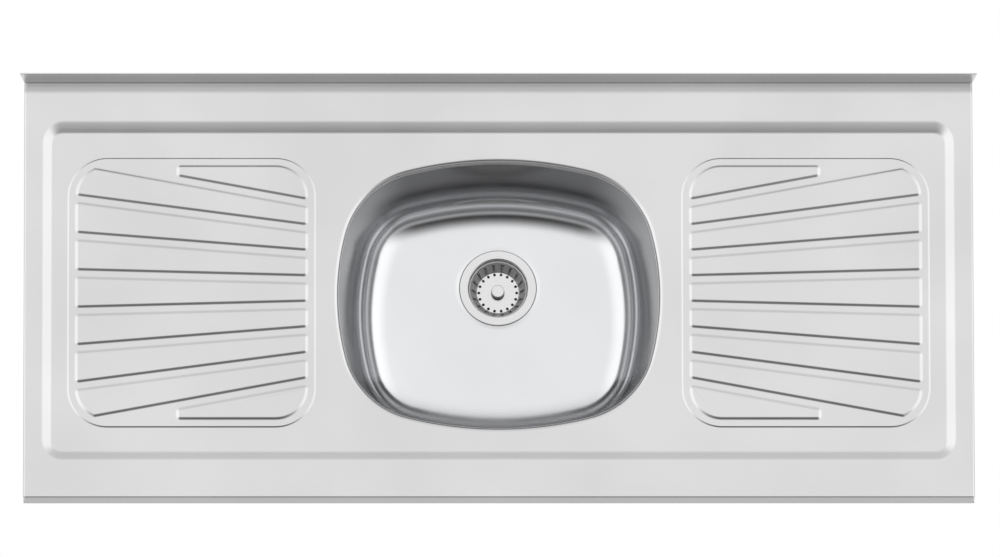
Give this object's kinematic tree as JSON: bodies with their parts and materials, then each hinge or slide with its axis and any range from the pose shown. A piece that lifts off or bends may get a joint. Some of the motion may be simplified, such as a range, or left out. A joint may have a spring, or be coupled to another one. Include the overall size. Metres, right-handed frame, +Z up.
{
  "type": "kitchen sink",
  "caption": "Stainless steel sink top with a central bowl, two ribbed drainers, a rear upstand and a lift-out basket strainer.",
  "frame": {"origin": "middle of the rear edge of the skirt's foot, on the plane that rests on the cabinet", "axes": "+X along the length to the right, +Y towards the wall, +Z up"},
  "size_m": [1.21, 0.545, 0.2937],
  "materials": {
    "deck_steel": "satin, fine grain",
    "bowl_steel": "satin, softly polished",
    "polished_steel": "polished",
    "particle_board": "raw pressed board",
    "damping_rubber": "matt",
    "seal_rubber": "matt",
    "white_plastic": "moulded",
    "nylon": "moulded"
  },
  "bodies": {
    "root": {"worktop": "deck_steel", "bowl": "bowl_steel", "board_left": "particle_board", "board_right": "particle_board", "rail_front": "particle_board", "rail_rear": "particle_board", "sound_pad": "damping_rubber", "strainer_body": "polished_steel", "flange_seal": "seal_rubber", "under_gasket": "seal_rubber", "friction_ring": "white_plastic", "lock_nut": "white_plastic", "tail_washer": "seal_rubber", "tailpiece": "white_plastic", "coupling_nut": "white_plastic"},
    "stem_bush": {"stem_bush": "nylon"},
    "basket": {"basket_cup": "polished_steel", "basket_seal": "seal_rubber", "basket_stem": "polished_steel", "stem_clip": "polished_steel", "basket_knob": "polished_steel"}
  },
  "joints": [
    {"name": "basket_turn", "type": "hinge", "parent": "root", "child": "stem_bush", "pos_m": [0, -0.2355, -0.155], "axis": [0, 0, 1], "continuous": true},
    {"name": "basket_lift", "type": "slide", "parent": "stem_bush", "child": "basket", "axis": [0, 0, 1], "range_m": [0, 0.2]}
  ]
}
